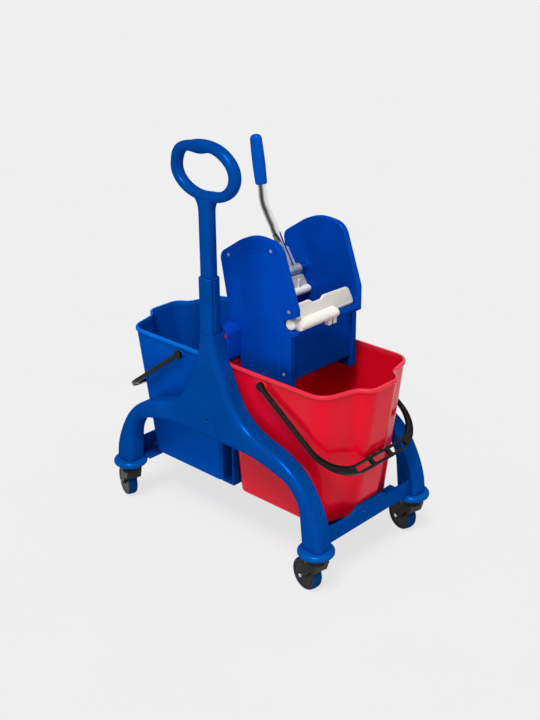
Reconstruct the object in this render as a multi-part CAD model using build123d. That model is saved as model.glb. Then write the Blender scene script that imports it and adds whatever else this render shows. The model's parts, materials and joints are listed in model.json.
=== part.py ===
from build123d import *
import math
import os

# Two-bucket mop trolley with a lever wringer. Millimetres, Z up, X towards the wringer's bucket,
# the push handle on the -Y side. The casters stand on z = 0. Everything above them is drawn to the
# levels of the frame, about the middle of the chassis, and then set down on the casters.

# Fits
fit_gap = 0.1
running_gap = 0.05
press_gap = 0.02
free_gap = 0.4

# Casters
caster_pitch_x = 592.0
caster_pitch_y = 328.0
wheel_diameter = 75.0
tread_width = 23.0
wheel_rim_radius = 30.5
wheel_boss_radius = 11.0
caster_trail = 28.0
caster_height = 96.5
ring_radius = 40.0
ring_height = 15.5
axle_radius = 4.0
axle_head_radius = 4.6
axle_head_height = 3.0
stem_radius = 5.5
stem_collar_radius = 6.4
stem_length = 56.0
socket_radius = 8.9
socket_depth = 60.0
rivet_radius = 8.5
rivet_low_z = 74.5
rivet_height = 4.0
fork_gap = 2.5
fork_wall = 4.0
fork_crown_radius = 25.0
fork_crown_low_z = 80.0
fender_gap = 3.0
trail_angles = {"near_rear": 160.0, "near_front": 171.0, "far_front": 168.0, "far_rear": 166.0}
caster_signs = {"near_rear": (-1, -1), "near_front": (1, -1), "far_front": (1, 1), "far_rear": (-1, 1)}

# Chassis
frame_thickness = 46.0
frame_outer_rounding = 14.0
frame_inner_rounding = 8.0
leg_width = 52.0
leg_base_z = 117.5
neck_half = 19.5
neck_top_z = 520.0
neck_inner_relief = 5.0
relief_start_z = 345.0
spigot_radius = 13.0
spigot_depth = 62.0
beam_face_x = 307.0
beam_wall = 6.0
beam_low_z = 118.0
beam_top_z = 155.0
beam_rise = 12.0
shelf_start_x = 252.0
shelf_thickness = 5.0
shelf_half_length = 100.0
tenon_depth = 12.0
tenon_x = (280.0, 304.0)
tenon_z = (123.0, 143.0)
bucket_floor_z = 130.0
channel_half = 19.0
channel_wall = 4.0
channel_low_z = 143.0
channel_top_z = 285.0
channel_half_length = 128.0
ledge_end_x = 62.0
ledge_half_length = 98.0
ledge_low_z = 124.0
pad_z = (268.0, 336.0)
pad_length = 10.0
accessory_holes = ((-209.0, 285.0), (-174.0, 299.0))
accessory_hole_radius = 2.75
accessory_hole_depth = 22.0

# Screws in the frame and the handle
frame_screw_z = 322.0
frame_screw_radius = 2.5
frame_head_radius = 4.6
frame_head_sink = 9.0
neck_screw_z = 500.0
post_screw_z = 615.0
post_screw_x = -15.5
post_screw_radius = 1.95
post_head_radius = 3.8

# Push handle
post_size = 36.0
post_top_z = 645.0
plug_size = (24.0, 20.0)
plug_depth = 60.0
grip_half_width = 95.0
grip_half_height = 62.5
grip_centre_z = 866.5
grip_band = 22.5
grip_depth = 27.0
grip_rounding = 10.0
shaft_width = 31.0
shaft_end_z = 797.0

# Buckets, drawn for the +X side: first the floor, then the underside of the rim
rim_z = 450.0
rim_height = 7.0
rim_out = 3.0
bucket_wall = 3.0
bucket_floor = 3.5
rear_x = (25.0, 17.0)
half_width = (119.0, 141.5)
corner_x = (262.0, 288.0)
notch_x = (279.0, 310.0)
notch_y = (54.0, 61.0)
spout_x = (294.0, 340.0)
spout_y = (38.0, 40.0)
rear_corner_radius = 20.0
front_corner_radius = 41.0
notch_radius = 30.0
spout_radius = 29.0
floor_rounding = 10.0

# Bails
pivot_x = 126.0
pivot_z = 428.0
pivot_radius = 5.0
pivot_length = 4.5
pivot_pad_radius = 11.0
bail_side_gap = 0.8
bail_angle = 36.0
bail_reach = 264.5
bail_band = 23.0
bail_thickness = 9.0
bail_arm = 7.5
bail_eye_radius = 9.5
bail_corner_radius = 92.0
window_size = (13.0, 50.0)
window_pitch = 57.0
flute_depth = 2.6

# Wringer
cheek_inner_y = 91.0
cheek_plate = 2.5
cheek_outer_y = 106.0
cover_wall = 2.2
cheek_low_z = 408.0
wall_front_x = 168.0
wall_rear_x = 26.0
wall_thickness = 4.0
wall_low_z = 436.0
wall_top_z = 546.0
lip_start_y = 30.0
grid_thickness = 4.0
groove_depth = 0.9
arch_centre = (83.5, 622.6)
arch_radius = 84.4
groove_width = 1.7
cover_screw_radius = 1.7
cover_head_radius = 3.6
cover_boss_radius = 4.6
cover_screw_spots = {"near": ((-2, 677), (119, 710), (168, 592), (153, 449)),
                     "far": ((-2, 677), (119, 710), (178, 590), (153, 449))}
tongue_half = 7.0
tongue_depth = 2.0
tongue_z = (458.0, 500.0)
hanger_gap = 2.0
hanger_wall = 5.0
hanger_pocket_x = (-4.0, 24.0)
plug_spot = (19.5, 510.0)
plug_radius = 3.6
plug_head_radius = 5.0

# Jaws and lever
jaw_spacing = 119.0
rear_jaw_x = 46.0
jaw_z = 562.0
jaw_radius = 8.0
jaw_core_radius = 9.0
boss_radius = 12.0
boss_end_y = -101.0
jaw_plate_thickness = 7.0
jaw_end_gap = 1.5
bar_end_y = 27.0
bar_nose = (182.0, 559.0)
bar_nose_radius = 9.5
bar_radius = 12.0
shaft_radius = 7.0
bush_radius = 10.0
bush_flange_radius = 13.0
bush_flange = 1.2
lever_y = 46.0
lever_tilt = 31.5
grip_tilt = 8.6
lever_length = 157.0
grip_length = 150.0
grip_start = 43.0
grip_cap = 8.0
grip_radius = 14.0
tube_radius = 10.0
tube_bend_radius = 60.0
blade_size = (8.0, 20.0)
blade_end = 66.0
tube_start = 86.0
hub_radius = 10.5
hub_y = (33.0, 62.0)
collar_radius = 11.8
collar_length = 6.0
ear_thickness = 5.0
ear_length = 46.0
bolt_spots = (25.0, 44.0)
bolt_radius = 3.0
bolt_head_radius = 5.6
bolt_head_height = 4.0
spring_wire = 2.0
spring_turns = 3

# Gears in the far cheek: lever wheel and rear jaw pinion, then one sector on each jaw
drive_module = 3.0
lever_teeth = 20
pinion_teeth = 14
sector_module = 3.5
sector_teeth = 34
pressure_angle = 25.0
backlash = 0.35
drive_layer = (94.0, 98.4)
sector_layer = (99.0, 103.4)
gear_hub_radius = 11.0
shaft_square = 9.0
jaw_square = 10.6
shaft_lean = 10.4

# Sizes that follow
frame_mid_y = caster_pitch_y / 2
frame_out_y = frame_mid_y + frame_thickness / 2
frame_in_y = frame_mid_y - frame_thickness / 2
leg_x = caster_pitch_x / 2
ring_top_z = caster_height + ring_height
frame_lift = ring_top_z - leg_base_z
neck_in_y = frame_in_y + neck_inner_relief
post_y = (frame_out_y + neck_in_y) / 2
wheel_radius = wheel_diameter / 2
fork_inner_y = tread_width / 2 + fork_gap
fork_outer_y = fork_inner_y + fork_wall
bail_inner_y = half_width[1] + rim_out + bail_side_gap
bail_outer_y = bail_inner_y + bail_arm
cover_inner_y = cheek_inner_y + cheek_plate
jaw_half_length = cheek_inner_y - jaw_end_gap
journal_end_y = cover_inner_y + free_gap
shaft_end_y = cheek_outer_y - cover_wall - free_gap
front_jaw_x = rear_jaw_x + jaw_spacing
drive_distance = drive_module * (lever_teeth + pinion_teeth) / 2
shaft_x = rear_jaw_x - drive_distance * math.sin(math.radians(shaft_lean))
shaft_z = jaw_z + drive_distance * math.cos(math.radians(shaft_lean))
lever_dir = (-math.sin(math.radians(lever_tilt)), math.cos(math.radians(lever_tilt)))
grip_dir = (-math.sin(math.radians(grip_tilt)), math.cos(math.radians(grip_tilt)))


def along_y(sketch, low, high):
    # extrudes a sketch drawn in X and Z from y = low to y = high
    plane = Plane(origin=(0, high, 0), x_dir=(1, 0, 0), z_dir=(0, -1, 0))
    return extrude(plane * sketch, amount=high - low)


def along_x(sketch, low, high):
    # extrudes a sketch drawn in Y and Z from x = low to x = high
    plane = Plane(origin=(low, 0, 0), x_dir=(0, 1, 0), z_dir=(1, 0, 0))
    return extrude(plane * sketch, amount=high - low)


def along_z(sketch, low, high):
    return extrude(Pos(0, 0, low) * sketch, amount=high - low)


def block(x, y, z):
    size = (x[1] - x[0], y[1] - y[0], z[1] - z[0])
    return Pos((x[0] + x[1]) / 2, (y[0] + y[1]) / 2, (z[0] + z[1]) / 2) * Box(*size)


def rod_y(x, z, radius, low, high):
    return along_y(Pos(x, z) * Circle(radius), low, high)


def rod_z(x, y, radius, low, high):
    return along_z(Pos(x, y) * Circle(radius), low, high)


def rounded(corners):
    # corners are (u, v, radius)
    points = [(c[0], c[1]) for c in corners]
    return make_face(FilletPolyline(*points, radius=[c[2] for c in corners], close=True))


def half_turn(shape):
    return Rot(0, 0, 180) * shape


def mirror_y(shape):
    return mirror(shape, about=Plane.XZ)


def group(solids):
    return Compound([s for p in solids for s in p.solids()])


def frame_outline():
    inner = leg_x - leg_width / 2
    outer = leg_x + leg_width / 2
    shoulder = [(outer, leg_base_z), (301, 203), (262, 262), (198, 303), (122, 329), (76, 372),
                (42, 441), (neck_half, neck_top_z)]
    right = Spline(*shoulder, tangents=[(0, 1), (-0.12, 1)])
    left = Spline(*[(-x, z) for x, z in shoulder], tangents=[(0, 1), (0.12, 1)])
    arch = [(inner, leg_base_z), (258, 243), (130, 276), (-130, 276), (-258, 243), (-inner, leg_base_z)]
    below = FilletPolyline(*arch, radius=[78, 320, 320, 78])
    ends = [Line((inner, leg_base_z), (outer, leg_base_z)), Line((-inner, leg_base_z), (-outer, leg_base_z)),
            Line((neck_half, neck_top_z), (-neck_half, neck_top_z))]
    return make_face(right.edges() + left.edges() + below.edges() + ends)


def face_rim(body, y):
    # edges of the frame's face at y, apart from the leg ends and the top of the neck
    rim = [e for e in body.edges() if abs(e.center().Y - y) < 1 and abs(e.bounding_box().size.Y) < 0.1]
    return [e for e in rim if e.bounding_box().size.Z > 0.5]


def side_frame():
    # near frame: arch on two legs with a neck that takes the handle post
    body = along_y(frame_outline(), -frame_out_y, -frame_in_y)
    body = fillet(face_rim(body, -frame_out_y), frame_outer_rounding)
    body = fillet(face_rim(body, -frame_in_y), frame_inner_rounding)
    body -= block((-140, 140), (-neck_in_y, -frame_in_y + 5), (relief_start_z, neck_top_z + 5))
    body -= rod_z(0, -post_y, spigot_radius + fit_gap, neck_top_z - spigot_depth - 1, neck_top_z + 1)
    # pocket for the wringer hanger's tongue, open at the top
    pocket_half = tongue_half + free_gap
    body -= block((-pocket_half, pocket_half), (-neck_in_y - tongue_depth - free_gap, -neck_in_y + 1),
                  (tongue_z[0] - free_gap, neck_top_z + 1))
    # handle screw from the hidden side of the neck
    body -= along_x(Pos(-post_y, neck_screw_z) * Circle(post_head_radius + free_gap), -40, post_screw_x)
    body -= along_x(Pos(-post_y, neck_screw_z) * Circle(post_screw_radius + fit_gap), -40, 5 + post_screw_x)
    # channel screw
    sink = -frame_out_y + frame_head_sink
    body -= rod_y(0, frame_screw_z, frame_head_radius + free_gap, -frame_out_y - 1, sink)
    body -= rod_y(0, frame_screw_z, frame_screw_radius + fit_gap, -frame_out_y, -frame_in_y + 1)
    for x, z in accessory_holes:
        body -= rod_y(x, z, accessory_hole_radius, -frame_out_y - 1, -frame_out_y + accessory_hole_depth)
    for side in (-1, 1):
        body -= rod_z(side * leg_x, -frame_mid_y, socket_radius + fit_gap, leg_base_z - 1,
                      leg_base_z + socket_depth + 1)
        # mortise for the end beam's tenon
        low, high = sorted((side * (tenon_x[0] - fit_gap), side * (tenon_x[1] + fit_gap)))
        body -= block((low, high), (-frame_in_y - tenon_depth - free_gap, -frame_in_y + 1),
                      (tenon_z[0] - fit_gap, tenon_z[1] + fit_gap))
    return body


def socket_cap():
    # closes the unused neck on the far side
    cap = along_z(RectangleRounded(30, 34, 9), neck_top_z, neck_top_z + 4)
    cap = fillet(cap.edges().group_by(Axis.Z)[-1], 2.5)
    cap += rod_z(0, 0, spigot_radius, neck_top_z - 24, neck_top_z)
    return Pos(0, post_y, 0) * cap


def handle_post():
    post = along_z(RectangleRounded(post_size, post_size, 9), neck_top_z, post_top_z)
    post = chamfer(post.edges().group_by(Axis.Z)[-1], 1.5)
    post += rod_z(0, 0, spigot_radius, neck_top_z - spigot_depth, neck_top_z)
    socket = RectangleRounded(plug_size[0] + 2 * fit_gap, plug_size[1] + 2 * fit_gap, 5)
    post -= along_z(socket, post_top_z - plug_depth - 2, post_top_z + 1)
    # rib along the face that looks at the wringer
    post += block((post_size / 2 - 1, post_size / 2 + 1.6), (-4, 4), (neck_top_z + 6, post_top_z - 8))
    post -= along_x(Pos(0, neck_screw_z) * Circle(post_screw_radius + press_gap), -20, -1)
    post -= along_x(Pos(0, post_screw_z) * Circle(post_head_radius + free_gap), -30, post_screw_x)
    post -= along_x(Pos(0, post_screw_z) * Circle(post_screw_radius + fit_gap), -30, 5 + post_screw_x)
    return Pos(0, -post_y, 0) * post


def push_handle():
    # oval ring rounded to a tube, a flare below it and a shaft that plugs into the post
    low = post_top_z + 0.2
    half = shaft_width / 2
    ring_low = grip_centre_z - grip_half_height
    ring = Pos(0, grip_centre_z) * Ellipse(grip_half_width, grip_half_height)
    flare = rounded([(-half, shaft_end_z - 29, 0), (half, shaft_end_z - 29, 0), (half, shaft_end_z, 16),
                     (36, ring_low + 10, 0), (30, ring_low + 22, 0), (-30, ring_low + 22, 0),
                     (-36, ring_low + 10, 0), (-half, shaft_end_z, 16)])
    hole = Pos(0, grip_centre_z) * Ellipse(grip_half_width - grip_band, grip_half_height - grip_band)
    body = along_y(ring + flare - hole, -grip_depth / 2, grip_depth / 2)
    rim = [e for e in body.edges() if abs(abs(e.center().Y) - grip_depth / 2) < 0.1]
    body = fillet([e for e in rim if e.center().Z > shaft_end_z - 28], grip_rounding)
    body += along_z(RectangleRounded(shaft_width, grip_depth, 5), low, shaft_end_z - 4)
    body += along_z(RectangleRounded(*plug_size, 5), post_top_z - plug_depth, low)
    body -= along_x(Pos(0, post_screw_z) * Circle(post_screw_radius + press_gap), -14, -1)
    return Pos(0, -post_y, 0) * body


def pan_screw_x(y, z, head_x):
    # head at -X, shank towards +X
    spot = Pos(y, z)
    screw = along_x(spot * Circle(post_head_radius), head_x, head_x + 3)
    screw -= along_x(spot * Rectangle(5, 1.1), head_x, head_x + 1.2)
    return screw + along_x(spot * Circle(post_screw_radius), head_x + 3, head_x + 16)


def handle_screws():
    return group([pan_screw_x(-post_y, z, post_screw_x - 3) for z in (neck_screw_z, post_screw_z)])


def end_beam():
    # front beam: upright wall with a raised middle, and a ribbed shelf that carries the bucket
    end = frame_in_y
    top = beam_top_z
    back = beam_face_x - beam_wall
    wall = rounded([(-end, beam_low_z, 0), (end, beam_low_z, 0), (end, top, 0), (60, top, 10),
                    (42, top + beam_rise, 10), (-42, top + beam_rise, 10), (-60, top, 10), (-end, top, 0)])
    body = along_x(wall, back, beam_face_x)
    upper = [e for e in body.edges() if e.center().Z > top - 1 and abs(e.center().X - beam_face_x) < 0.1]
    body = fillet(upper, 3)
    body += block((shelf_start_x, back), (-end, end), (beam_low_z, beam_low_z + shelf_thickness))
    body += block((shelf_start_x, shelf_start_x + 5), (-shelf_half_length, shelf_half_length),
                  (beam_low_z, bucket_floor_z))
    for i in range(6):
        y = shelf_half_length * (2 * i / 5 - 1)
        body += block((shelf_start_x, back), (y - 2, y + 2), (beam_low_z, bucket_floor_z))
    for side in (-1, 1):
        low, high = sorted((side * end, side * (end + tenon_depth)))
        body += block(tenon_x, (low, high), tenon_z)
        low, high = sorted((side * end, side * (end - 4)))
        body += block((tenon_x[0] - 2, back), (low, high), (beam_low_z, top - 6))
    return body


def centre_channel():
    half = channel_half
    long = channel_half_length
    body = block((-half, half), (-long, long), (channel_low_z, channel_top_z))
    body -= block((-half + channel_wall, half - channel_wall), (-long - 1, long + 1),
                  (channel_low_z + channel_wall, channel_top_z + 1))
    # ledges under the rear edges of both buckets
    for side in (-1, 1):
        span = (-ledge_half_length, ledge_half_length)
        ledge = block((half - channel_wall, half), span, (ledge_low_z, channel_low_z + 2))
        ledge += block((half - channel_wall, ledge_end_x), span, (ledge_low_z, bucket_floor_z))
        for y in (-80, 0, 80):
            corners = ((half, bucket_floor_z), (half + 5, bucket_floor_z), (half, channel_low_z))
            ledge += along_y(Polygon(*corners, align=None), y - 2, y + 2)
        body += ledge if side > 0 else mirror(ledge, about=Plane.YZ)
    # pads that bolt to the side frames
    low_z, high_z = pad_z
    for side in (-1, 1):
        low, high = sorted((side * (long - pad_length), side * frame_in_y))
        face = rounded([(-half, low_z, 4), (half, low_z, 4), (half, high_z, 8), (-half, high_z, 8)])
        pad = along_y(face, low, high)
        end_plate = sorted((side * (long - pad_length), side * long))
        body += pad + block((-half + 2, half - 2), end_plate, (low_z, channel_top_z))
        body -= rod_y(0, frame_screw_z, frame_screw_radius + running_gap, low, high)
    return body


def frame_screws():
    head = -frame_out_y + frame_head_sink
    near = rod_y(0, frame_screw_z, frame_head_radius, head - 4, head)
    near -= block((-3, 3), (head - 5, head - 2.6), (frame_screw_z - 0.6, frame_screw_z + 0.6))
    near += rod_y(0, frame_screw_z, frame_screw_radius, head, -frame_in_y + pad_length)
    return group([near, half_turn(near)])


def caster_place(name):
    sx, sy = caster_signs[name]
    return Pos(sx * leg_x, sy * frame_mid_y, 0)


def bumper_ring():
    bore = stem_collar_radius + fit_gap
    profile = Rectangle(ring_radius - bore, ring_height, align=(Align.MIN, Align.MIN))
    ring = revolve(Plane.XZ * (Pos(bore, caster_height) * profile), Axis.Z)
    rims = [e for e in ring.edges() if e.geom_type == GeomType.CIRCLE and abs(e.radius - ring_radius) < 0.1]
    return fillet(rims, ring_height / 2 - 0.4)


def caster_socket():
    tube = rod_z(0, 0, socket_radius, ring_top_z, ring_top_z + socket_depth)
    return tube - rod_z(0, 0, stem_radius + fit_gap, ring_top_z - 1, ring_top_z + socket_depth + 1)


def caster_stem():
    # pin held in the leg; the fork turns on it above the riveted head
    stem = rod_z(0, 0, stem_radius, rivet_low_z + rivet_height - 0.5, ring_top_z + stem_length)
    stem += rod_z(0, 0, rivet_radius, rivet_low_z, rivet_low_z + rivet_height)
    stem += rod_z(0, 0, stem_collar_radius, caster_height + 1, ring_top_z)
    return fillet(stem.edges().group_by(Axis.Z)[-1], 2)


def caster_fork():
    axle = Pos(-caster_trail, wheel_radius)
    crown_top = caster_height - free_gap
    arm = make_hull((axle * Circle(9)).edges() + (Pos(5, fork_crown_low_z + 7) * Rectangle(26, 13)).edges())
    fork = along_y(arm, fork_inner_y, fork_outer_y) + along_y(arm, -fork_outer_y, -fork_inner_y)
    crown = rod_z(0, 0, fork_crown_radius, fork_crown_low_z, crown_top)
    fork += fillet(crown.edges().group_by(Axis.Z)[-1], 2.5)
    # hood in front of the wheel
    hood = Polygon((-10, 60), (14, 60), (22, 82), (18, 92), (-18, 90), (-18, 80), align=None)
    hood -= axle * Circle(wheel_radius + fender_gap)
    fork += along_y(hood, -fork_outer_y, fork_outer_y)
    fork -= rod_z(0, 0, stem_radius + running_gap, rivet_low_z + 1, crown_top + 1)
    rivet_top = rivet_low_z + rivet_height
    fork -= rod_z(0, 0, rivet_radius + free_gap, rivet_low_z - free_gap, rivet_top + free_gap)
    return fork - rod_y(-caster_trail, wheel_radius, axle_radius + press_gap, -40, 40)


def caster_axle():
    spot = (-caster_trail, wheel_radius)
    end = fork_outer_y + axle_head_height
    axle = rod_y(*spot, axle_radius, -fork_outer_y - 1, fork_outer_y + 1)
    axle += rod_y(*spot, axle_head_radius, -end, -fork_outer_y)
    axle += rod_y(*spot, axle_head_radius, fork_outer_y, end)
    rims = [e for e in axle.edges() if abs(abs(e.center().Y) - end) < 0.1]
    return fillet(rims, 1.4)


def wheel_hub():
    # dished web between a bored boss and the rim under the tread
    half = tread_width / 2
    bore = axle_radius + running_gap
    boss = wheel_boss_radius
    rim = wheel_rim_radius
    side = [(bore, half + 1.8), (boss, half + 1.8), (boss + 2, half - 3), (rim - 4.5, half - 2.5),
            (rim - 1.5, half - 0.5), (rim, half - 0.5)]
    profile = make_face(Polyline(*[(r, -y) for r, y in side], *reversed(side), close=True))
    return Pos(-caster_trail, 0, wheel_radius) * revolve(Plane.XY * profile, Axis.Y)


def wheel_tread():
    half = tread_width / 2
    rim = wheel_rim_radius
    edge = wheel_radius - 3.5
    profile = make_face([Line((rim, -half), (edge, -half)),
                         ThreePointArc((edge, -half), (wheel_radius, 0), (edge, half)),
                         Line((edge, half), (rim, half)), Line((rim, half), (rim, -half))])
    return Pos(-caster_trail, 0, wheel_radius) * revolve(Plane.XY * profile, Axis.Y)


def bucket_section(level):
    # level 0 is the floor, level 1 the underside of the rim
    side = [(rear_x[level], half_width[level], rear_corner_radius),
            (corner_x[level], half_width[level], front_corner_radius),
            (notch_x[level], notch_y[level], notch_radius), (spout_x[level], spout_y[level], spout_radius)]
    return rounded(side + [(x, -y, r) for x, y, r in reversed(side)])


def bucket():
    low, high = bucket_section(0), bucket_section(1)
    top = rim_z - rim_height
    outer = loft([Pos(0, 0, bucket_floor_z) * low, Pos(0, 0, top) * high], ruled=True)
    outer = fillet(outer.edges().group_by(Axis.Z)[0], floor_rounding)
    inner_low = offset(low, -bucket_wall)
    inner_high = offset(high, -bucket_wall)
    inside_z = bucket_floor_z + bucket_floor
    inner = loft([Pos(0, 0, inside_z) * inner_low, Pos(0, 0, top) * inner_high], ruled=True)
    inner = fillet(inner.edges().group_by(Axis.Z)[0], floor_rounding - bucket_wall)
    inner += along_z(inner_high, top, rim_z + 1)
    lip = along_z(offset(high, rim_out), top, rim_z)
    lip = fillet(lip.edges().group_by(Axis.Z)[-1], rim_out - 0.4)
    body = outer + lip
    for side in (-1, 1):
        for ear in bail_ear(side):
            body += ear
    return body - inner


def bail_ear(side):
    # pad on the wall and the stub that the bail's eye turns on
    wall = half_width[0] + (half_width[1] - half_width[0]) * 0.92
    rods = [rod_y(pivot_x, pivot_z, pivot_pad_radius, wall - 2, bail_inner_y - free_gap),
            rod_y(pivot_x, pivot_z, pivot_radius, wall, bail_inner_y + pivot_length)]
    return rods if side > 0 else [mirror_y(r) for r in rods]


def bail():
    # flat U with a windowed grip, drawn level and then lowered to where it lies
    inner_u = bail_reach - bail_band
    outer = rounded([(-9, -bail_outer_y, 4), (bail_reach, -bail_outer_y, bail_corner_radius),
                     (bail_reach, bail_outer_y, bail_corner_radius), (-9, bail_outer_y, 4)])
    inner = rounded([(-30, -bail_inner_y, 0), (inner_u, -bail_inner_y, bail_corner_radius - 17),
                     (inner_u, bail_inner_y, bail_corner_radius - 17), (-30, bail_inner_y, 0)])
    band = outer - inner
    # finger bumps
    for i in range(4):
        band += Pos(inner_u + 3, -33 + 22 * i) * Circle(5)
    half = bail_thickness / 2
    body = along_z(band, -half, half)
    hollow = offset(outer, -2.4) - offset(inner, 2.4)
    hollow &= Pos(140, 0) * Rectangle(220, 400)
    flutes = hollow - Pos(inner_u + 10, 0) * Rectangle(80, 190)
    body -= along_z(flutes, half - flute_depth, half + 1) + along_z(flutes, -half - 1, -half + flute_depth)
    for i in (-1, 0, 1):
        window = Pos(inner_u + bail_band / 2, i * window_pitch) * RectangleRounded(*window_size, 3)
        body -= along_z(window, -half - 1, half + 1)
    for side in (-1, 1):
        low, high = sorted((side * bail_inner_y, side * bail_outer_y))
        body += rod_y(0, 0, bail_eye_radius, low, high)
        low, high = sorted((side * (bail_inner_y - 1), side * (bail_inner_y + pivot_length + free_gap)))
        body -= rod_y(0, 0, pivot_radius + running_gap, low, high)
    return Pos(pivot_x, 0, pivot_z) * (Rot(0, bail_angle, 0) * body)


def cheek_outline(notched):
    shape = rounded([(wall_rear_x, cheek_low_z, 3), (172, cheek_low_z, 5), (172, 537, 3), (185, 543, 4),
                     (185, 597, 14), (139, 727, 36), (60, 735, 110), (-30, 676, 22), (2, 510, 60),
                     (2, rim_z, 4), (wall_rear_x, rim_z, 1)])
    if notched:
        # mouth for the round end of the front jaw
        reach = boss_radius + 0.6
        mouth = Polygon((front_jaw_x, jaw_z + reach), (200, jaw_z + 28), (200, jaw_z - reach),
                        (front_jaw_x, jaw_z - reach), align=None)
        shape -= mouth + Pos(front_jaw_x, jaw_z) * Circle(reach)
    return shape


def cheek_cover(which):
    # hollow outer half of a cheek, built on the far side
    plain = cheek_outline(False)
    outline = cheek_outline(which == "near")
    low = cover_inner_y
    body = along_y(plain, low, cheek_outer_y)
    rim = [e for e in body.edges() if abs(e.center().Y - cheek_outer_y) < 0.1]
    body = fillet(rim, cover_wall - 0.2)
    if which == "near":
        body -= along_y(plain - outline, low - 1, cheek_outer_y + 1)
    body -= along_y(offset(outline, -cover_wall), low - 1, cheek_outer_y - cover_wall)
    for x, z in cover_screw_spots[which]:
        body += rod_y(x, z, cover_boss_radius, low, cheek_outer_y - 1)
        body -= rod_y(x, z, cover_screw_radius + running_gap, low - 1, cheek_outer_y + 1)
    # line of the front strip and the arched line under the top edge
    cut = (cheek_outer_y - groove_depth, cheek_outer_y + 1)
    body -= block((140, 140 + groove_width), cut, (434, 629))
    arch = Pos(*arch_centre) * (Circle(arch_radius) - Circle(arch_radius - groove_width))
    arch &= Pos(67.5, 700) * Rectangle(97, 60)
    body -= along_y(arch, *cut)
    return body if which == "far" else mirror_y(body)


def cover_screw(x, z):
    screw = rod_y(x, z, cover_head_radius, cheek_outer_y, cheek_outer_y + 1.8)
    screw = fillet(screw.edges().group_by(Axis.Y)[-1], 1.0)
    return screw + rod_y(x, z, cover_screw_radius, cover_inner_y + 3, cheek_outer_y)


def cover_screws():
    far = [cover_screw(x, z) for x, z in cover_screw_spots["far"]]
    near = [mirror_y(cover_screw(x, z)) for x, z in cover_screw_spots["near"]]
    return group(far + near)


def wringer_body():
    inside, outside = cheek_inner_y, cover_inner_y
    journal = jaw_radius + running_gap
    far = along_y(cheek_outline(False), inside, outside) - rod_y(front_jaw_x, jaw_z, journal, 70, 100)
    near = along_y(cheek_outline(True), -outside, -inside)
    body = far + near
    body -= rod_y(rear_jaw_x, jaw_z, journal, -100, 100)
    body -= rod_y(shaft_x, shaft_z, bush_radius, -100, 100)
    front = (wall_front_x - wall_thickness, wall_front_x)
    rear = (wall_rear_x, wall_rear_x + wall_thickness)
    body += block(front, (-inside, inside), (wall_low_z, wall_top_z))
    body += block(rear, (-inside, inside), (wall_low_z, wall_top_z + 2))
    # front rim beside the jaw bar
    rim = Polygon((front[0], 541), (181, 545), (185, 550), (185, 560), (181.5, 560), (181.5, 551),
                  (front[0], 546), align=None)
    body += along_y(rim, lip_start_y, inside)
    # hook over the bucket's rear rim
    hook = Polygon((30, rim_z), (30, 458), (4.5, 458), (4.5, 428), (9, 428), (9, rim_z), align=None)
    body += along_y(hook, -inside, inside)
    # ledges and bars under the drain grid
    for x in (rear[1], front[0] - 5):
        body += block((x, x + 5), (-inside, inside), (wall_low_z, wall_low_z + 3))
    for x in (70, 130):
        body += block((x, x + 3), (-inside, inside), (cheek_low_z + 4, wall_low_z + 3))
    return body


def drain_grid():
    gap = free_gap
    low = wall_low_z + 3
    plate = block((wall_rear_x + wall_thickness + gap, wall_front_x - wall_thickness - gap),
                  (-cheek_inner_y + gap, cheek_inner_y - gap), (low, low + grid_thickness))
    for i in range(4):
        for j in range(6):
            slot = Pos(47.5 + 33 * i, -75 + 30 * j) * SlotOverall(25, 12)
            plate -= along_z(slot, low - 1, low + grid_thickness + 1)
    return plate


def hanger():
    # near bracket between the cheek and the neck, with the tongue that sits in the neck's pocket
    plate = rounded([(-8, 453, 5), (28, 453, 8), (28, 517, 8), (20, 530, 6), (-8, 530, 5)])
    face = -neck_in_y + hanger_gap
    body = along_y(plate, face, -cheek_outer_y)
    rim = [e for e in body.edges() if abs(e.center().Y - face) < 0.1]
    body = fillet(rim, 2)
    body -= block(hanger_pocket_x, (face + hanger_wall, -cheek_outer_y - 4), (440, 520))
    body += block((-tongue_half, tongue_half), (-neck_in_y - tongue_depth, face + 1), tongue_z)
    return body - rod_y(*plug_spot, plug_radius, face - 1, face + 10)


def hanger_plugs():
    face = -neck_in_y + hanger_gap
    near = rod_y(*plug_spot, plug_head_radius, face - 1.5, face)
    near = fillet(near.edges().group_by(Axis.Y)[0], 1.2)
    near += rod_y(*plug_spot, plug_radius, face, face + 8)
    return group([near, mirror_y(near)])


def shaft_bushes():
    inside = cheek_inner_y
    bush = rod_y(shaft_x, shaft_z, bush_radius, inside, cover_inner_y)
    bush += rod_y(shaft_x, shaft_z, bush_flange_radius, inside - bush_flange, inside)
    bush -= rod_y(shaft_x, shaft_z, shaft_radius + running_gap, inside - 5, inside + 5)
    return group([bush, mirror_y(bush)])


def lever_shaft():
    step = drive_layer[0] - 0.5
    shaft = rod_y(shaft_x, shaft_z, shaft_radius, -shaft_end_y, step)
    square = Pos(shaft_x, shaft_z) * Rectangle(shaft_square, shaft_square)
    return shaft + along_y(square, step, drive_layer[1])


def on_lever(distance):
    return (shaft_x + distance * lever_dir[0], shaft_z + distance * lever_dir[1])


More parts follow.
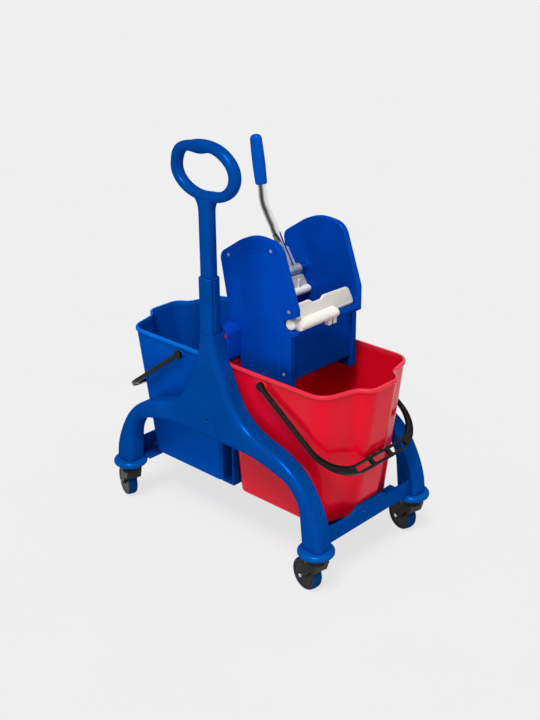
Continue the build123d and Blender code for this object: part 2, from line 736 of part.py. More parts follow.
def lever_hub():
    # collared sleeve on the shaft with two ears that clamp the flattened end of the lever
    sleeve = rod_y(shaft_x, shaft_z, hub_radius, *hub_y)
    collar = rod_y(shaft_x, shaft_z, collar_radius, hub_y[1], hub_y[1] + collar_length)
    sleeve += fillet(collar.edges(), 1.2)
    far_end = Pos(*on_lever(ear_length)) * Circle(hub_radius - 1)
    ear = make_hull((Pos(shaft_x, shaft_z) * Circle(hub_radius)).edges() + far_end.edges())
    grip = blade_size[0] / 2
    hub = sleeve + along_y(ear, lever_y + grip, lever_y + grip + ear_thickness)
    hub += along_y(ear, lever_y - grip - ear_thickness, lever_y - grip)
    for d in bolt_spots:
        hub -= rod_y(*on_lever(d), bolt_radius + running_gap, lever_y - 20, lever_y + 20)
    end = hub_y[1] + collar_length + 1
    return hub - rod_y(shaft_x, shaft_z, shaft_radius + press_gap, hub_y[0] - 1, end)


def lever_frame(distance):
    x, z = on_lever(distance)
    return Plane(origin=(x, lever_y, z), x_dir=(0, 1, 0), z_dir=(lever_dir[0], 0, lever_dir[1]))


def lever_tube():
    # flat blade between the ears, then a round tube with one bend
    blade = extrude(lever_frame(14) * RectangleRounded(*blade_size, 2), amount=blade_end - 14)
    full = RectangleRounded(2 * tube_radius, 2 * tube_radius, tube_radius - 0.1)
    taper = loft([lever_frame(blade_end) * RectangleRounded(*blade_size, 2), lever_frame(tube_start) * full])
    x, z = on_lever(lever_length)
    end = grip_length - grip_cap
    tip = (x + grip_dir[0] * end, lever_y, z + grip_dir[1] * end)
    start = on_lever(tube_start)
    path = FilletPolyline((start[0], lever_y, start[1]), (x, lever_y, z), tip, radius=tube_bend_radius)
    tube = sweep(lever_frame(tube_start) * Circle(tube_radius), path=path)
    body = blade + taper + tube
    for d in bolt_spots:
        body -= rod_y(*on_lever(d), bolt_radius + running_gap, lever_y - 20, lever_y + 20)
    return body


def lever_grip():
    # soft sleeve with a barrel shape and a domed end
    x, z = on_lever(lever_length)
    low, high, full = grip_start, grip_length, grip_radius
    plane = Plane(origin=(x, lever_y, z), x_dir=(0, 1, 0), z_dir=(grip_dir[0], 0, grip_dir[1]))
    bore = tube_radius + press_gap
    barrel = Spline((full - 1.2, low + 2), (full, (low + high) / 2), (full - 1.2, high - 10))
    dome = ThreePointArc((full - 1.2, high - 10), (full - 4, high - 3), (full - 10, high))
    rest = Polyline((full - 10, high), (0, high), (0, high - grip_cap), (bore, high - grip_cap), (bore, low),
                    (full - 2.4, low), (full - 1.2, low + 2))
    face = make_face(barrel.edges() + dome.edges() + rest.edges())
    return plane * revolve(Plane.XZ * face, Axis.Z)


def lever_bolts():
    bolts = []
    seat = blade_size[0] / 2 + ear_thickness
    for d in bolt_spots:
        head = Pos(*on_lever(d)) * RegularPolygon(bolt_head_radius, 6)
        bolt = rod_y(*on_lever(d), bolt_radius, lever_y - seat, lever_y + seat)
        bolt += along_y(head, lever_y - seat - bolt_head_height, lever_y - seat)
        bolt += along_y(head, lever_y + seat, lever_y + seat + bolt_head_height)
        bolts.append(bolt)
    return group(bolts)


def return_spring():
    # square-wire torsion coil on the shaft inside the near cheek
    mean = shaft_radius + spring_wire / 2 + 0.15
    pitch = spring_wire + 0.3
    coil = Helix(pitch=pitch, height=spring_turns * pitch, radius=mean)
    start = Plane(origin=coil @ 0, x_dir=(1, 0, 0), z_dir=coil % 0)
    spring = sweep(start * Rectangle(spring_wire, spring_wire), path=coil, is_frenet=True)
    return Pos(shaft_x, -shaft_end_y + spring_wire / 2, shaft_z) * (Rot(-90, 0, 0) * spring)


def tooth_points(module, teeth, angle):
    # involute flanks from the root up one side and down the other, angle in radians
    pitch = module * teeth / 2
    slope = math.radians(pressure_angle)
    base = pitch * math.cos(slope)
    tip = pitch + 0.9 * module
    root = pitch - 1.2 * module
    half_pitch = math.pi / (2 * teeth) - backlash / (2 * pitch) + math.tan(slope) - slope
    start = max(base, root)
    radii = [start + (tip - start) * i / 4 for i in range(5)]
    flank = []
    for r in radii:
        at = math.acos(min(1.0, base / r))
        flank.append((r, half_pitch - math.tan(at) + at))
    if root < base:
        flank.insert(0, (root, flank[0][1]))
    rise = [(r, angle - a) for r, a in flank]
    fall = [(r, angle + a) for r, a in reversed(flank)]
    return [(r * math.cos(a), r * math.sin(a)) for r, a in rise + fall]


def gear_face(module, teeth, first_angle, count):
    step = 2 * math.pi / teeth
    points = []
    for i in range(count):
        points += tooth_points(module, teeth, first_angle + i * step)
    if count < teeth:
        points.append((0.0, 0.0))
    return make_face(Polyline(*points, close=True))


def lever_gear():
    # a tooth of the lever wheel lies on the line to the rear jaw's axis
    aim = math.atan2(jaw_z - shaft_z, rear_jaw_x - shaft_x)
    bore = shaft_square + fit_gap
    face = gear_face(drive_module, lever_teeth, aim, lever_teeth) - Rectangle(bore, bore)
    return along_y(Pos(shaft_x, shaft_z) * face, *drive_layer)


def jaw_tenon(x):
    return along_y(Pos(x, jaw_z) * Rectangle(jaw_square, jaw_square), journal_end_y, sector_layer[1])


def jaw_gear(x, layers):
    # toothed faces about one jaw's axis, on a hub bored for the jaw's tenon
    spot = Pos(x, jaw_z)
    gear = along_y(spot * Circle(gear_hub_radius), drive_layer[0], sector_layer[1])
    for face, layer in layers:
        gear += along_y(spot * face, *layer)
    bore = jaw_square + fit_gap
    return gear - along_y(spot * Rectangle(bore, bore), drive_layer[0] - 1, sector_layer[1] + 1)


def rear_jaw_gear():
    aim = math.atan2(shaft_z - jaw_z, shaft_x - rear_jaw_x)
    pinion = gear_face(drive_module, pinion_teeth, aim + math.pi / pinion_teeth, pinion_teeth)
    step = 2 * math.pi / sector_teeth
    sector = gear_face(sector_module, sector_teeth, -step / 2, 11)
    return jaw_gear(rear_jaw_x, ((pinion, drive_layer), (sector, sector_layer)))


def front_jaw_gear():
    step = 2 * math.pi / sector_teeth
    sector = gear_face(sector_module, sector_teeth, math.pi - 9 * step, 10)
    return jaw_gear(front_jaw_x, ((sector, sector_layer),))


def jaw_plate(x, lean):
    # press plate above its axis, ribbed on the side that meets the mop
    wide = jaw_half_length
    top = [(wide, 8, 3), (wide - 16, 37, 6), (-2, 39, 4), (-10, 32, 5), (-36, 32, 5), (-46, 41, 5),
           (-wide, 41, 4)]
    plate = rounded([(-wide, jaw_z, 0), (wide, jaw_z, 0)] + [(y, jaw_z + z, r) for y, z, r in top])
    low, high = sorted((x + lean, x + (1 + jaw_plate_thickness) * lean))
    body = along_x(plate, low, high)
    for i in range(7):
        y = -72 + 22 * i
        low, high = sorted((x + 1.5 * lean, x - 2.0 * lean))
        body += block((low, high), (y - 2.5, y + 2.5), (jaw_z, jaw_z + 28))
    return body


def rear_jaw():
    body = jaw_plate(rear_jaw_x, -1)
    body += rod_y(rear_jaw_x, jaw_z, jaw_core_radius, -jaw_half_length, jaw_half_length)
    body += rod_y(rear_jaw_x, jaw_z, jaw_radius, -journal_end_y, journal_end_y)
    return body + jaw_tenon(rear_jaw_x)


def front_jaw():
    body = jaw_plate(front_jaw_x, 1)
    body += rod_y(front_jaw_x, jaw_z, jaw_core_radius, -jaw_half_length, jaw_half_length)
    body += rod_y(front_jaw_x, jaw_z, jaw_radius, 0, journal_end_y)
    # bar that overhangs the front wall, and the round end that sits in the near cheek's mouth
    nose = Pos(*bar_nose) * Circle(bar_nose_radius)
    bar = make_hull((Pos(front_jaw_x, jaw_z) * Circle(bar_radius - 0.5)).edges() + nose.edges())
    arm = along_y(bar, -jaw_half_length, bar_end_y)
    body += fillet([e for e in arm.edges() if abs(e.center().Y - bar_end_y) < 0.1], 3)
    for y in (-4, 12):
        body += block((bar_nose[0] - 6, bar_nose[0] + 5), (y, y + 9), (jaw_z - 24, jaw_z - 5))
    end = rod_y(front_jaw_x, jaw_z, boss_radius, boss_end_y, -jaw_half_length)
    end = fillet(end.edges().group_by(Axis.Y)[0], 3)
    return body + end + jaw_tenon(front_jaw_x)


def build_nodes():
    near = side_frame()
    front = end_beam()
    plain_bucket = bucket()
    plain_bail = bail()
    near_hanger = hanger()
    nodes = {
        "side_frame_near": near,
        "side_frame_far": half_turn(near),
        "socket_cap": socket_cap(),
        "handle_post": handle_post(),
        "push_handle": push_handle(),
        "handle_screws": handle_screws(),
        "front_beam": front,
        "rear_beam": half_turn(front),
        "centre_channel": centre_channel(),
        "frame_screws": frame_screws(),
        "bucket_red": plain_bucket,
        "bucket_blue": half_turn(plain_bucket),
        "bail_red": plain_bail,
        "bail_blue": half_turn(plain_bail),
        "wringer_body": wringer_body(),
        "drain_grid": drain_grid(),
        "cheek_cover_near": cheek_cover("near"),
        "cheek_cover_far": cheek_cover("far"),
        "cover_screws": cover_screws(),
        "hanger_near": near_hanger,
        "hanger_far": mirror_y(near_hanger),
        "hanger_plugs": hanger_plugs(),
        "shaft_bushes": shaft_bushes(),
        "lever_shaft": lever_shaft(),
        "lever_hub": lever_hub(),
        "lever_tube": lever_tube(),
        "lever_grip": lever_grip(),
        "lever_bolts": lever_bolts(),
        "lever_gear": lever_gear(),
        "return_spring": return_spring(),
        "rear_jaw": rear_jaw(),
        "rear_jaw_gear": rear_jaw_gear(),
        "front_jaw": front_jaw(),
        "front_jaw_gear": front_jaw_gear(),
    }
    nodes = {name: Pos(0, 0, frame_lift) * shape for name, shape in nodes.items()}
    ring, socket, stem = bumper_ring(), caster_socket(), caster_stem()
    nodes["caster_sockets"] = group([caster_place(n) * socket for n in caster_signs])
    nodes["caster_stems"] = group([caster_place(n) * stem for n in caster_signs])
    fork, axle, hub, tread = caster_fork(), caster_axle(), wheel_hub(), wheel_tread()
    for name in caster_signs:
        place = caster_place(name)
        turned = place * Rot(0, 0, trail_angles[name] - 180)
        nodes["bumper_ring_" + name] = place * ring
        nodes["caster_fork_" + name] = turned * fork
        nodes["caster_axle_" + name] = turned * axle
        nodes["wheel_hub_" + name] = turned * hub
        nodes["wheel_tread_" + name] = turned * tread
    return nodes


os.makedirs("parts", exist_ok=True)
pieces = build_nodes()
# the origin lies under the middle of the whole box, which the trailing rear wheels lengthen
boxes = [shape.bounding_box() for shape in pieces.values()]
row_shift = round(-(min(b.min.X for b in boxes) + max(b.max.X for b in boxes)) / 2, 2)
print("row_shift", row_shift, "shaft", shaft_x, shaft_z)
for node, shape in pieces.items():
    placed = Pos(row_shift, 0, 0) * shape
    export_step(placed, os.path.join("parts", node + ".step"))
    print(node, len(placed.solids()), round(placed.volume))
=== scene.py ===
import bpy
import bmesh
import json
import math
from mathutils import Matrix, Vector


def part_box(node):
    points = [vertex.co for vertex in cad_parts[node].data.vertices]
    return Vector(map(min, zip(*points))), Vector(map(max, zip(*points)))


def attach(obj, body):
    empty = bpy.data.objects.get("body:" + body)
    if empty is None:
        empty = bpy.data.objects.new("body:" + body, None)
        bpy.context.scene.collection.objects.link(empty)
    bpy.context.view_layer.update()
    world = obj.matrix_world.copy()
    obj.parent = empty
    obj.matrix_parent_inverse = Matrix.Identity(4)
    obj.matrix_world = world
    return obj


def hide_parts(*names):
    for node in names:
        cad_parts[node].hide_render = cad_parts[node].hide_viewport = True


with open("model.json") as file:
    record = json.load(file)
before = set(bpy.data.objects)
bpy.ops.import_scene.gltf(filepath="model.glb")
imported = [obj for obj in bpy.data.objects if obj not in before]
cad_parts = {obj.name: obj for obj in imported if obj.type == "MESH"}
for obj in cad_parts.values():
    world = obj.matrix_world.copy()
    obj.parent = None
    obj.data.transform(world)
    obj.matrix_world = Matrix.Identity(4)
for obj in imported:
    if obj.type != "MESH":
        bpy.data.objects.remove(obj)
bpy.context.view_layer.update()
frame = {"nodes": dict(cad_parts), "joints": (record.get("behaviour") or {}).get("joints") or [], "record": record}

nodes = frame["nodes"]
scene = bpy.context.scene
mm = 0.001
print("frame loaded:", len(nodes), "nodes")


def addNode(tree, kind, feeds=None, **settings):
    node = tree.nodes.new("ShaderNode" + kind)
    for key, value in settings.items():
        setattr(node, key, value)
    for socket, value in (feeds or {}).items():
        if isinstance(value, bpy.types.NodeSocket):
            tree.links.new(value, node.inputs[socket])
        else:
            node.inputs[socket].default_value = value
    return node


def newFinish(name):
    material = bpy.data.materials.new(name)
    material.use_nodes = True
    tree = material.node_tree
    return material, tree, tree.nodes["Principled BSDF"]


def setSockets(shader, values):
    for socket, value in values.items():
        shader.inputs[socket].default_value = value


def place(tree):
    return addNode(tree, "TexCoord").outputs["Object"]


def rgba(colour):
    return (colour[0], colour[1], colour[2], 1.0)


def maths(tree, operation, *values):
    return addNode(tree, "Math", dict(enumerate(values)), operation=operation).outputs["Value"]


def dotProduct(tree, first, second):
    return addNode(tree, "VectorMath", {0: first, 1: second}, operation="DOT_PRODUCT").outputs["Value"]


def ramp(tree, value, source, target=(0.0, 1.0)):
    # the source range brought to the target range and held at its ends
    span = {"Value": value, "From Min": source[0], "From Max": source[1],
            "To Min": target[0], "To Max": target[1]}
    return addNode(tree, "MapRange", span).outputs["Result"]


def mixColour(tree, amount, first, second):
    mix = addNode(tree, "Mix", {0: amount, 6: first, 7: second}, data_type="RGBA")
    return mix.outputs[2]


def lighten(tree, colour, mask, share, light):
    return mixColour(tree, maths(tree, "MULTIPLY", mask, share), colour, rgba(light))


def noise(tree, where, scale, detail):
    return addNode(tree, "TexNoise", {"Vector": where, "Scale": scale, "Detail": detail}).outputs["Fac"]


noiseReach = (0.32, 0.68)  # nearly all of a noise lies between these


def cloud(tree, where, scale, span=(0.0, 1.0), detail=3.0):
    # slow variation over a piece
    return ramp(tree, noise(tree, where, scale, detail), noiseReach, span)


scratches = {
    "fine": {"turn": (0.4, 0.7, 0.2), "stretch": (620, 15, 40), "start": 0.66},
    "cross": {"turn": (1.1, -0.5, 0.9), "stretch": (30, 540, 18), "start": 0.68},
    "fade": 0.06, "patchScale": 7.0, "roughen": 0.16,
}


def streaks(tree, where, kind):
    # thin streaks from a noise that is stretched one way, strongest in a few patches
    drawn = addNode(tree, "Mapping", {"Vector": where, "Rotation": kind["turn"], "Scale": kind["stretch"]})
    line = noise(tree, drawn.outputs["Vector"], 1.0, 2.0)
    line = ramp(tree, line, (kind["start"], kind["start"] + scratches["fade"]))
    return maths(tree, "MULTIPLY", line, cloud(tree, where, scratches["patchScale"], detail=1.0))


softEdge = {"samples": 6, "turned": (0.985, 0.86)}  # how far a rounded edge turns from its flat face


def roundedNormal(tree, radius):
    # rounded shading on crisp mould edges
    return addNode(tree, "Bevel", {"Radius": radius}, samples=softEdge["samples"]).outputs["Normal"]


def edgeMask(tree, normal):
    # 1 on the rounded edges, where the painted edge highlight goes
    flat = addNode(tree, "NewGeometry").outputs["Normal"]
    return ramp(tree, dotProduct(tree, normal, flat), softEdge["turned"])


def bump(tree, height, depth, normal):
    feeds = {"Height": height, "Distance": depth, "Strength": 1.0, "Normal": normal}
    return addNode(tree, "Bump", feeds).outputs["Normal"]


rim = {"top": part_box("bucket_red")[1].z, "fade": (11 * mm, 6 * mm)}


def rimMask(tree, where):
    # 1 on the rolled rim of a bucket, fading out below it; it places the painted rim highlight
    height = addNode(tree, "SeparateXYZ", {"Vector": where}).outputs["Z"]
    return ramp(tree, height, (rim["top"] - rim["fade"][0], rim["top"] - rim["fade"][1]))


# the blues have no clear shine, only a pearl with a blue sheen, so that their slanting edges stay blue
plainPlastic = {
    "deep": (0.0008, 0.055, 0.293), "colour": (0.001, 0.068, 0.355), "mottleScale": 9.0,
    # edge is the colour of the painted highlight on rounded edges and bucket rims, and also of the scuffs
    "edge": (0.006, 0.16, 0.62), "edgeRadius": 1.6 * mm, "edgeLight": 0.35, "rimLight": 0.0, "scuff": 0.06,
    "rough": (0.19, 0.26), "roughScale": 5.0, "grainScale": 1500.0, "grainDepth": 0.006 * mm,
    "rippleScale": 22.0, "rippleDepth": 0.35 * mm, "shine": 0.0, "sheen": (0.12, 0.5, 1.0), "pearl": 0.2,
    "glow": 0.0, "glowRadius": (0.3, 0.3, 1.0), "glowScale": 4 * mm,
}


def plastic(name, **changes):
    finish = {**plainPlastic, **changes}
    material, tree, shader = newFinish(name)
    where = place(tree)
    normal = roundedNormal(tree, finish["edgeRadius"])
    mottle = cloud(tree, where, finish["mottleScale"])
    colour = mixColour(tree, mottle, rgba(finish["deep"]), rgba(finish["colour"]))
    # painted highlight: rounded edges, and bucket rims where asked, are lightened towards the edge colour
    colour = lighten(tree, colour, edgeMask(tree, normal), finish["edgeLight"], finish["edge"])
    if finish["rimLight"]:
        colour = lighten(tree, colour, rimMask(tree, where), finish["rimLight"], finish["edge"])
    fine = streaks(tree, where, scratches["fine"])
    scuff = maths(tree, "MAXIMUM", fine, streaks(tree, where, scratches["cross"]))
    colour = lighten(tree, colour, scuff, finish["scuff"], finish["edge"])
    rough = cloud(tree, where, finish["roughScale"], finish["rough"], 4.0)
    rough = maths(tree, "MULTIPLY_ADD", scuff, scratches["roughen"], rough)
    normal = bump(tree, noise(tree, where, finish["rippleScale"], 1.0), finish["rippleDepth"], normal)
    normal = bump(tree, noise(tree, where, finish["grainScale"], 2.0), finish["grainDepth"], normal)
    tree.links.new(colour, shader.inputs["Base Color"])
    tree.links.new(rough, shader.inputs["Roughness"])
    tree.links.new(normal, shader.inputs["Normal"])
    setSockets(shader, {"Specular IOR Level": finish["shine"], "Specular Tint": rgba(finish["sheen"]),
                        "Metallic": finish["pearl"], "Subsurface Weight": finish["glow"],
                        "Subsurface Scale": finish["glowScale"], "Subsurface Radius": finish["glowRadius"]})
    return material


plainSteel = {
    # bright and dark are the colours of the painted reflection bands
    "bright": (0.82, 0.83, 0.86), "dark": (0.1, 0.095, 0.092), "metal": 1.0,
    "rough": (0.1, 0.2), "roughScale": 60.0, "edgeRadius": 0.6 * mm,
    "brush": (900, 900, 26), "brushDepth": 0.006 * mm, "brushPull": 0.35,
    "bandAcross": (0.72, 0.69, 0.0), "bands": 3.3, "bandStart": -0.75, "bandCut": (-0.7, 0.6),
    "waver": 0.25, "waverScale": 30.0,
}


def brightSteel(name, **changes):
    # polished steel whose dark and light bands are a painted reflection, laid by the way its surface faces
    finish = {**plainSteel, **changes}
    material, tree, shader = newFinish(name)
    where = place(tree)
    normal = roundedNormal(tree, finish["edgeRadius"])
    drawn = addNode(tree, "Mapping", {"Vector": where, "Scale": finish["brush"]})
    brush = noise(tree, drawn.outputs["Vector"], 1.0, 4.0)
    start, waver = finish["bandStart"], finish["waver"]
    shift = cloud(tree, where, finish["waverScale"], (start - waver, start + waver))
    facing = dotProduct(tree, normal, finish["bandAcross"])
    wave = maths(tree, "SINE", maths(tree, "MULTIPLY_ADD", facing, finish["bands"], shift))
    reflectionBand = ramp(tree, wave, finish["bandCut"])
    colour = mixColour(tree, reflectionBand, rgba(finish["dark"]), rgba(finish["bright"]))
    rough = cloud(tree, where, finish["roughScale"], finish["rough"])
    tree.links.new(colour, shader.inputs["Base Color"])
    tree.links.new(rough, shader.inputs["Roughness"])
    tree.links.new(bump(tree, brush, finish["brushDepth"], normal), shader.inputs["Normal"])
    setSockets(shader, {"Metallic": finish["metal"], "Anisotropic": finish["brushPull"]})
    return material


white = (1.0, 1.0, 1.0)
finishes = {
    "frame_blue": plastic("frame_blue_moulded"),
    "bumper_blue": plastic(
        "bumper_blue_soft", deep=(0.0012, 0.079, 0.352), colour=(0.0016, 0.095, 0.42), rough=(0.16, 0.22)),
    # painted highlight: strong on this bucket's edges and rim
    "bucket_red": plastic(
        "bucket_red_gloss", deep=(0.76, 0.002, 0.018), colour=(0.86, 0.0028, 0.024), edge=(0.95, 0.06, 0.1),
        edgeRadius=2.4 * mm, edgeLight=0.7, rimLight=0.4, scuff=0.03, rough=(0.12, 0.2),
        rippleScale=9.0, rippleDepth=0.5 * mm, shine=0.15, sheen=(1.0, 0.8, 0.85), pearl=0.0),
    # painted highlight: strong on this bucket's edges and rim
    "bucket_blue": plastic(
        "bucket_blue_gloss", deep=(0.0004, 0.072, 0.41), colour=(0.0005, 0.086, 0.485),
        edge=(0.0008, 0.2, 0.8), edgeRadius=1.8 * mm, edgeLight=0.7, rimLight=0.6, scuff=0.04,
        grainDepth=0.005 * mm, rippleScale=9.0),
    "bail_black": plastic(
        "bail_black_gloss", deep=(0.005, 0.005, 0.005), colour=(0.008, 0.0075, 0.007),
        edge=(0.03, 0.03, 0.03), rough=(0.16, 0.26), shine=0.12, sheen=white, pearl=0.0),
    "wringer_blue": plastic(
        "wringer_blue_moulded", deep=(0.0004, 0.054, 0.415), colour=(0.0005, 0.0675, 0.49), edgeLight=0.5),
    "plug_red": plastic(
        "plug_red_gloss", deep=(0.4, 0.004, 0.006), colour=(0.5, 0.006, 0.01), edge=(0.7, 0.05, 0.05),
        rough=(0.2, 0.3), shine=0.2, sheen=white, pearl=0.0),
    "nylon_white": plastic(
        "nylon_white_satin", deep=(0.84, 0.79, 0.73), colour=(0.87, 0.84, 0.79), edge=(0.88, 0.87, 0.85),
        rough=(0.38, 0.52), glow=0.25, glowRadius=(1.0, 0.8, 0.6), shine=0.3, sheen=white, pearl=0.0),
    "grip_blue": plastic(
        "grip_blue_soft", deep=(0.0006, 0.08, 0.46), colour=(0.0008, 0.099, 0.545), rough=(0.42, 0.55),
        grainDepth=0.05 * mm),
    "caster_grey": plastic(
        "caster_grey_moulded", deep=(0.011, 0.0095, 0.0105), colour=(0.017, 0.015, 0.017),
        edge=(0.07, 0.063, 0.065), scuff=0.15, rough=(0.3, 0.42), grainDepth=0.03 * mm,
        shine=0.1, sheen=white, pearl=0.0),
    "hub_grey": plastic(
        "hub_grey_moulded", deep=(0.011, 0.011, 0.0125), colour=(0.017, 0.0165, 0.019),
        edge=(0.07, 0.07, 0.075), scuff=0.15, rough=(0.3, 0.42), grainDepth=0.03 * mm,
        shine=0.12, sheen=white, pearl=0.0),
    "tread_blue": plastic(
        "tread_blue_rubber", deep=(0.002, 0.037, 0.135), colour=(0.003, 0.05, 0.178), edge=(0.02, 0.14, 0.42),
        scuff=0.2, rough=(0.45, 0.62), grainScale=700.0, grainDepth=0.08 * mm),
    "steel": brightSteel("bright_steel"),
}
satin = brightSteel("satin_steel", dark=(0.26, 0.26, 0.27), bright=(0.62, 0.63, 0.65), rough=(0.3, 0.42),
                    metal=0.55)
# a dimmer copy of the steel, with darker painted reflection bands, for the lever's bolts
dimSteel = brightSteel("dim_steel", dark=(0.07, 0.07, 0.075), bright=(0.36, 0.37, 0.39), rough=(0.24, 0.36))

# pieces that look unlike the rest of their slot
ownFinish = {"lever_hub": satin, "lever_bolts": dimSteel, "cover_screw_heads": satin,
             "shaft_bushes": finishes["wringer_blue"]}
for part in frame["record"]["subparts"]:
    skin = nodes[part["node"]]
    skin.data.materials.clear()
    skin.data.materials.append(ownFinish.get(part["node"], finishes[part["material_slot"]]))
print("finishes set:", len(finishes))

sharpFrom = math.radians(34)  # edges that turn more than this stay crisp


def closedMesh(name, points, faces):
    # a mesh with all its faces turned outwards
    mesh = bpy.data.meshes.new(name)
    mesh.from_pydata(points, [], faces)
    shape = bmesh.new()
    shape.from_mesh(mesh)
    bmesh.ops.recalc_face_normals(shape, faces=shape.faces)
    shape.to_mesh(mesh)
    shape.free()
    return mesh


def addObject(name, data):
    thing = bpy.data.objects.new(name, data)
    scene.collection.objects.link(thing)
    return thing


def finishPiece(name, points, faces, slotName, body, stands):
    mesh = closedMesh(name, points, faces)
    mesh.shade_smooth()
    mesh.set_sharp_from_angle(angle=sharpFrom)
    mesh.materials.append(ownFinish.get(name, finishes[slotName]))
    piece = addObject(name, mesh)
    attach(piece, body)
    for node in stands:
        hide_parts(node)


def turnedRing(outline, steps, centre, axis):
    # a closed outline of (radius, distance along the axis) turned all the way round
    turn = Vector((0, 0, 1)).rotation_difference(axis).to_matrix()
    count = len(outline)
    points, faces = [], []
    for step in range(steps):
        angle = math.tau * step / steps
        for radius, along in outline:
            spoke = Vector((radius * math.cos(angle), radius * math.sin(angle), along))
            points.append(centre + turn @ spoke * mm)
        for corner in range(count):
            far, other = (step + 1) % steps * count, (corner + 1) % count
            faces.append((step * count + corner, far + corner, far + other, step * count + other))
    return points, faces


def tubeFaces(first, rows, around, close):
    # rows of points joined into a tube, which closes on itself as a loop, at both ends or at its far end
    faces = []
    for row in range(rows if close == "loop" else rows - 1):
        here, there = first + row * around, first + (row + 1) % rows * around
        for k in range(around):
            after = (k + 1) % around
            faces.append((here + k, here + after, there + after, there + k))
    if close == "both":
        faces.append(tuple(first + k for k in range(around)))
    if close in ("both", "end"):
        faces.append(tuple(first + (rows - 1) * around + k for k in range(around)))
    return faces


# radii and half widths in mm
wheel = {
    "casters": ("near_rear", "near_front", "far_front", "far_rear"), "steps": 96,
    "half": 11.2, "bore": 4.2, "dish": 0.9, "disc": 33.6, "discBevel": 0.7,
    "boss": 9.5, "bossOut": 1.4, "bossBevel": (1.5, 1.2), "bossFoot": 1.2,
    "groove": (27.4, 29.2), "grooveDeep": 1.4, "grooveBevel": (0.5, 0.4),
    "tread": 37.4, "treadHalf": 10.9, "treadEdge": 35.0, "treadGap": 0.1, "crownSteps": 14,
}


def discOutline():
    # one face of the wheel's disc from bore to rim, then the other face back to the bore
    boss, bossTop = wheel["boss"], wheel["half"] + wheel["bossOut"]
    disc, dish, bevel = wheel["disc"], wheel["half"] - wheel["dish"], wheel["discBevel"]
    inner, outer = wheel["groove"]
    innerBevel, outerBevel = wheel["grooveBevel"]
    low = dish - wheel["grooveDeep"]
    face = [(wheel["bore"], bossTop), (boss - wheel["bossBevel"][0], bossTop),
            (boss, bossTop - wheel["bossBevel"][1]), (boss + wheel["bossFoot"], dish),
            (inner - innerBevel, dish), (inner, dish - innerBevel), (inner, low),
            (outer, low), (outer, dish - outerBevel), (outer + outerBevel, dish),
            (disc - bevel, dish), (disc, dish - bevel)]
    return face + [(radius, -along) for radius, along in reversed(face)]


def treadOutline():
    # a full round crown on a flat seat
    half, edge, seat = wheel["treadHalf"], wheel["treadEdge"], wheel["disc"] + wheel["treadGap"]
    outline = [(seat, half), (seat, -half)]
    for step in range(wheel["crownSteps"] + 1):
        across = -half + 2 * half * step / wheel["crownSteps"]
        crown = math.sqrt(max(0.0, 1.0 - (across / half) ** 2))
        outline.append((edge + (wheel["tread"] - edge) * crown, across))
    return outline


def makeWheels():
    axes = {joint["child"]: Vector(joint["axis"]) for joint in frame["joints"]}
    for caster in wheel["casters"]:
        body = "wheel_" + caster
        low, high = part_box("wheel_tread_" + caster)
        centre = (low + high) / 2
        points, faces = turnedRing(discOutline(), wheel["steps"], centre, axes[body])
        finishPiece("wheel_disc_" + caster, points, faces, "hub_grey", body, ["wheel_hub_" + caster])
        points, faces = turnedRing(treadOutline(), wheel["steps"], centre, axes[body])
        finishPiece("wheel_band_" + caster, points, faces, "tread_blue", body, ["wheel_tread_" + caster])


# rings, slot and reach as shares of the head's radius, dome and depth as shares of its height
screw = {
    "height": 1.7 * mm, "steps": 40, "rings": (0.1, 0.2, 0.3, 0.42, 0.5, 0.58, 0.64, 0.8, 0.93, 1.0),
    "dome": 0.55, "domePower": 4, "slot": 0.16, "reach": 0.6, "deep": 0.7, "weld": 0.001 * mm,
}


def islands(node):
    # the separate solids of a node, each as the list of its corner points
    shape = bmesh.new()
    shape.from_mesh(nodes[node].data)
    bmesh.ops.remove_doubles(shape, verts=shape.verts, dist=screw["weld"])
    seen, groups = set(), []
    for start in shape.verts:
        if start in seen:
            continue
        seen.add(start)
        queue, group = [start], []
        while queue:
            vert = queue.pop()
            group.append(vert.co.copy())
            for edge in vert.link_edges:
                far = edge.other_vert(vert)
                if far not in seen:
                    seen.add(far)
                    queue.append(far)
        groups.append(group)
    shape.free()
    return groups


def crossHead(radius):
    # a closed round head with a cross recess, its seat at 0 and its crown at the full height
    steps, height = screw["steps"], screw["height"]
    deep = screw["deep"] * height
    points = [(0.0, 0.0, height - deep)]
    angles = [math.tau * step / steps for step in range(steps)]
    spokes = [(math.cos(angle), math.sin(angle)) for angle in angles]
    for share in screw["rings"]:
        crown = height * (1.0 - screw["dome"] * share ** screw["domePower"])
        for x, y in spokes:
            inCross = min(abs(x), abs(y)) * share < screw["slot"] and share < screw["reach"]
            points.append((x * share * radius, y * share * radius, crown - deep if inCross else crown))
    points += [(x * radius, y * radius, 0.0) for x, y in spokes]
    faces = [(0, 1 + step, 1 + (step + 1) % steps) for step in range(steps)]
    return points, faces + tubeFaces(1, len(screw["rings"]) + 1, steps, "end")


def makeScrews():
    points, faces = [], []
    for group in islands("cover_screws"):
        low = [min(corner[k] for corner in group) for k in range(3)]
        high = [max(corner[k] for corner in group) for k in range(3)]
        out = 1 if low[1] + high[1] > 0 else -1  # the cheek's outer side
        seat = (high[1] if out > 0 else low[1]) - out * screw["height"]
        headPoints, headFaces = crossHead((high[0] - low[0]) / 2)
        start = len(points)
        for x, y, z in headPoints:
            points.append(((low[0] + high[0]) / 2 + x, seat + out * z, (low[2] + high[2]) / 2 + y))
        faces.extend(tuple(start + corner for corner in face) for face in headFaces)
    finishPiece("cover_screw_heads", points, faces, "steel", "wringer", ["cover_screws"])


